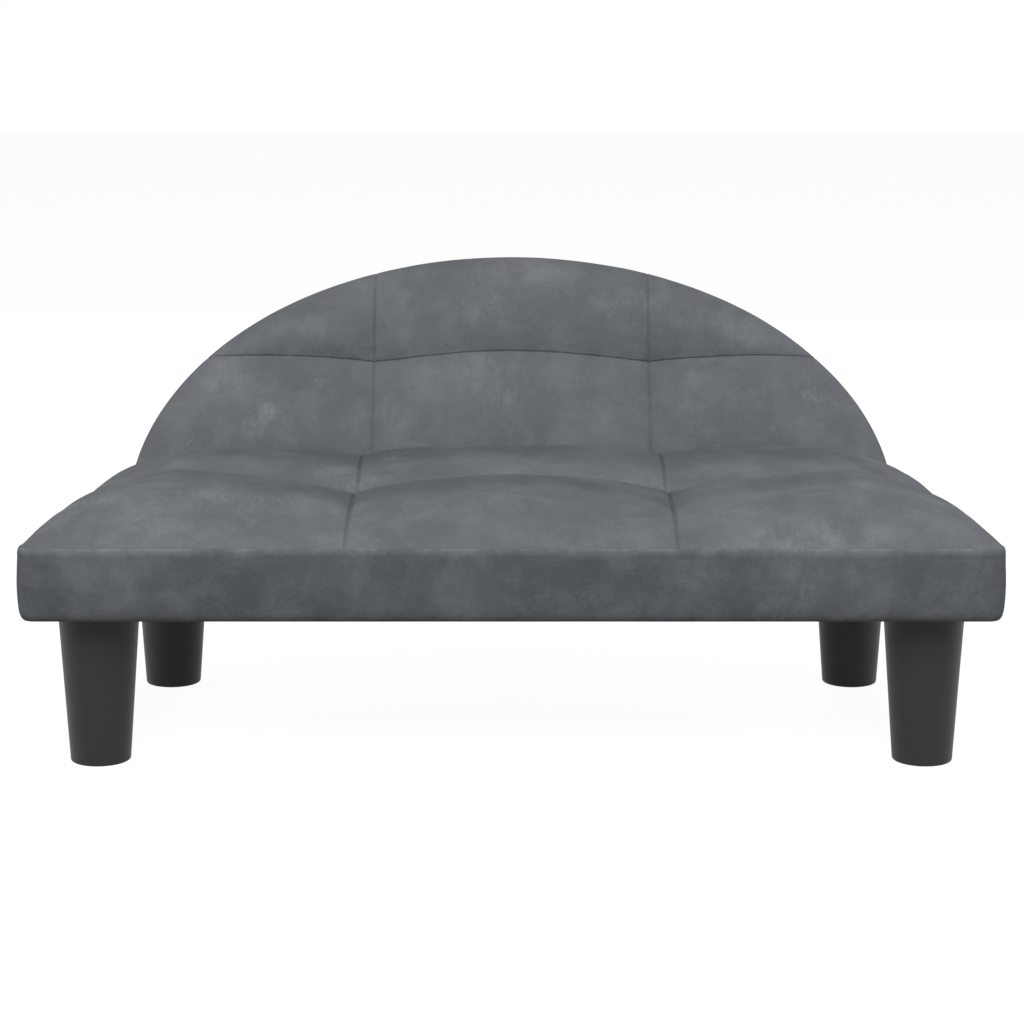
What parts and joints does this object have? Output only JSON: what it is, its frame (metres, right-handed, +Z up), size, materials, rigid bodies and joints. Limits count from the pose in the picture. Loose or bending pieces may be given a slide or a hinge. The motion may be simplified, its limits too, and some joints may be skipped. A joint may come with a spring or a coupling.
{
  "type": "dog sofa bed",
  "caption": "Low upholstered pet sofa with a quilted seat, an arched quilted backrest that leans back on folded steel brackets, and tapered round legs.",
  "frame": {"origin": "on the floor, under the centre of the overall box", "axes": "+X to the right as seen from the front, -Y towards the front edge of the seat, +Z up"},
  "size_m": [0.7006, 0.4592, 0.3318],
  "materials": {
    "upholstery": "brushed faux suede, dark slate grey",
    "lining": "thin black non-woven cloth",
    "foam": "open-cell upholstery foam",
    "plywood": "raw plywood",
    "pine": "planed pine",
    "leg_plastic": "satin moulded plastic, near black",
    "bracket_paint": "black powder coat",
    "zinc": "zinc plated"
  },
  "bodies": {
    "root": {"seat_quilt": "upholstery", "seat_border": "upholstery", "back_quilt": "upholstery", "back_border": "upholstery", "back_cover": "upholstery", "dust_cover": "lining", "seat_foam": "foam", "back_foam": "foam", "seat_deck": "plywood", "back_board": "plywood", "front_rail": "pine", "rear_rail": "pine", "left_rail": "pine", "right_rail": "pine", "left_bearer": "pine", "right_bearer": "pine", "corner_blocks": "pine", "front_left_leg": "leg_plastic", "front_right_leg": "leg_plastic", "rear_left_leg": "leg_plastic", "rear_right_leg": "leg_plastic", "left_bracket": "bracket_paint", "right_bracket": "bracket_paint", "leg_studs": "zinc", "leg_tee_nuts": "zinc", "back_tee_nuts": "zinc", "back_bolts": "zinc", "frame_screws": "zinc", "deck_screws": "zinc", "bracket_screws": "zinc"}
  },
  "joints": []
}
